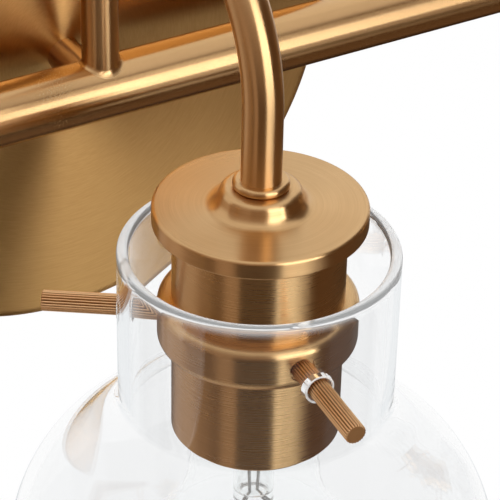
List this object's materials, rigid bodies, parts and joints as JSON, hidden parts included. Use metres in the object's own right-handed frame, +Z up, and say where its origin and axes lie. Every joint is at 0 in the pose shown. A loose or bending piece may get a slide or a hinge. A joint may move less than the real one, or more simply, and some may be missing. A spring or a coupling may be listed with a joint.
{
  "type": "vanity light bar",
  "caption": "Wall-mounted vanity light: satin brass bar on a round canopy, gooseneck arms over it carrying sockets with clear bell glass held by knurled thumbscrews.",
  "frame": {"origin": "middle of the wall strap's back face, on the wall, at the height of the bar's axis", "axes": "+X along the bar, +Y into the wall, -Y out into the room, +Z up"},
  "size_m": [0.559, 0.191, 0.2245],
  "materials": {
    "satin_brass": "satin, fine brushing",
    "brushed_brass": "brushed in circles",
    "knurled_brass": "straight knurl",
    "clear_glass": "clear, fire polished edges",
    "bulb_glass": "clear, thin",
    "bulb_mount": "clear stem with metal supports",
    "bulb_base": "rolled thread",
    "socket_moulding": "smooth moulding",
    "socket_metal": "plain",
    "zinc_steel": "zinc plated",
    "green_screw": "green",
    "grommet": "milky silicone",
    "lead_insulation": "wire insulation"
  },
  "bodies": {
    "fixture": {"wall_strap": "zinc_steel", "ground_screw": "green_screw", "canopy": "brushed_brass", "canopy_screws": "satin_brass", "post": "satin_brass", "bar_tube": "satin_brass", "bar_end_cap_left": "satin_brass", "bar_end_cap_right": "satin_brass", "holder_nuts": "zinc_steel", "shade_grommets": "grommet", "arm_1": "satin_brass", "arm_ferrule_1": "satin_brass", "holder_cap_1": "satin_brass", "socket_cup_1": "satin_brass", "shade_ring_1": "satin_brass", "socket_body_1": "socket_moulding", "socket_shell_1": "socket_metal", "socket_contact_1": "socket_metal", "glass_shade_1": "clear_glass", "lead_wires_1": "lead_insulation", "arm_2": "satin_brass", "arm_ferrule_2": "satin_brass", "holder_cap_2": "satin_brass", "socket_cup_2": "satin_brass", "shade_ring_2": "satin_brass", "socket_body_2": "socket_moulding", "socket_shell_2": "socket_metal", "socket_contact_2": "socket_metal", "glass_shade_2": "clear_glass", "lead_wires_2": "lead_insulation", "arm_3": "satin_brass", "arm_ferrule_3": "satin_brass", "holder_cap_3": "satin_brass", "socket_cup_3": "satin_brass", "shade_ring_3": "satin_brass", "socket_body_3": "socket_moulding", "socket_shell_3": "socket_metal", "socket_contact_3": "socket_metal", "glass_shade_3": "clear_glass", "lead_wires_3": "lead_insulation"},
    "bulb_1": {"bulb_glass_1": "bulb_glass", "bulb_base_1": "bulb_base", "bulb_mount_1": "bulb_mount"},
    "bulb_2": {"bulb_glass_2": "bulb_glass", "bulb_base_2": "bulb_base", "bulb_mount_2": "bulb_mount"},
    "bulb_3": {"bulb_glass_3": "bulb_glass", "bulb_base_3": "bulb_base", "bulb_mount_3": "bulb_mount"},
    "thumbscrew_1a": {"thumbscrew_1a": "knurled_brass"},
    "thumbscrew_1b": {"thumbscrew_1b": "knurled_brass"},
    "thumbscrew_1c": {"thumbscrew_1c": "knurled_brass"},
    "thumbscrew_2a": {"thumbscrew_2a": "knurled_brass"},
    "thumbscrew_2b": {"thumbscrew_2b": "knurled_brass"},
    "thumbscrew_2c": {"thumbscrew_2c": "knurled_brass"},
    "thumbscrew_3a": {"thumbscrew_3a": "knurled_brass"},
    "thumbscrew_3b": {"thumbscrew_3b": "knurled_brass"},
    "thumbscrew_3c": {"thumbscrew_3c": "knurled_brass"}
  },
  "joints": [
    {"name": "bulb_1_turn", "type": "hinge", "parent": "fixture", "child": "bulb_1", "pos_m": [-0.215, -0.1265, -0.06], "axis": [0, 0, -1], "range_deg": [0, 1080]},
    {"name": "thumbscrew_1a_travel", "type": "slide", "parent": "fixture", "child": "thumbscrew_1a", "axis": [-0.1045, -0.9945, 0], "range_m": [0, 0.004]},
    {"name": "thumbscrew_1b_travel", "type": "slide", "parent": "fixture", "child": "thumbscrew_1b", "axis": [0.866, 0.5, 0], "range_m": [0, 0.004]},
    {"name": "thumbscrew_1c_travel", "type": "slide", "parent": "fixture", "child": "thumbscrew_1c", "axis": [-0.8192, 0.5736, 0], "range_m": [0, 0.004]},
    {"name": "bulb_2_turn", "type": "hinge", "parent": "fixture", "child": "bulb_2", "pos_m": [0, -0.1265, -0.06], "axis": [0, 0, -1], "range_deg": [0, 1080]},
    {"name": "thumbscrew_2a_travel", "type": "slide", "parent": "fixture", "child": "thumbscrew_2a", "axis": [-0.1045, -0.9945, 0], "range_m": [0, 0.004]},
    {"name": "thumbscrew_2b_travel", "type": "slide", "parent": "fixture", "child": "thumbscrew_2b", "axis": [0.866, 0.5, 0], "range_m": [0, 0.004]},
    {"name": "thumbscrew_2c_travel", "type": "slide", "parent": "fixture", "child": "thumbscrew_2c", "axis": [-0.8192, 0.5736, 0], "range_m": [0, 0.004]},
    {"name": "bulb_3_turn", "type": "hinge", "parent": "fixture", "child": "bulb_3", "pos_m": [0.215, -0.1265, -0.06], "axis": [0, 0, -1], "range_deg": [0, 1080]},
    {"name": "thumbscrew_3a_travel", "type": "slide", "parent": "fixture", "child": "thumbscrew_3a", "axis": [-0.1045, -0.9945, 0], "range_m": [0, 0.004]},
    {"name": "thumbscrew_3b_travel", "type": "slide", "parent": "fixture", "child": "thumbscrew_3b", "axis": [0.866, 0.5, 0], "range_m": [0, 0.004]},
    {"name": "thumbscrew_3c_travel", "type": "slide", "parent": "fixture", "child": "thumbscrew_3c", "axis": [-0.8192, 0.5736, 0], "range_m": [0, 0.004]}
  ]
}
